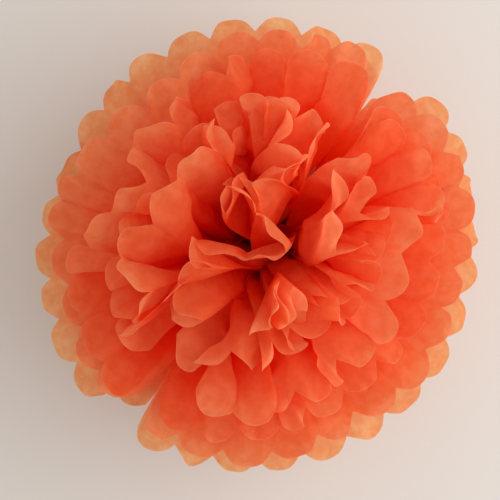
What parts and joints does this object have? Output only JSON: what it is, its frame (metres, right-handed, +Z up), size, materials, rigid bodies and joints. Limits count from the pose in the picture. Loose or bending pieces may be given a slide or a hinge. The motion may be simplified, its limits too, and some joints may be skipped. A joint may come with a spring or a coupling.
{
  "type": "tissue paper pom pom",
  "caption": "Round party pom pom of accordion-folded tissue sheets, tied with wire at the middle and pulled apart into a ball of petals; it lies on a flat surface.",
  "frame": {"origin": "on the surface the pom pom lies on, under the middle of its bounding box, which is under the tie", "axes": "+Z up through the tie, +X along the folded strip from the tie towards the middle of one half fan, +Y along the tie wire's long side"},
  "size_m": [0.2466, 0.2544, 0.196],
  "materials": {
    "tissue": "matte coral orange tissue, thin enough that light comes through",
    "wire": "bare soft wire, slightly dull"
  },
  "bodies": {
    "root": {"sheet_01": "tissue", "sheet_02": "tissue", "sheet_03": "tissue", "sheet_04": "tissue", "sheet_05": "tissue", "sheet_06": "tissue", "sheet_07": "tissue", "sheet_08": "tissue", "sheet_09": "tissue", "sheet_10": "tissue", "tie_wire": "wire"}
  },
  "joints": []
}
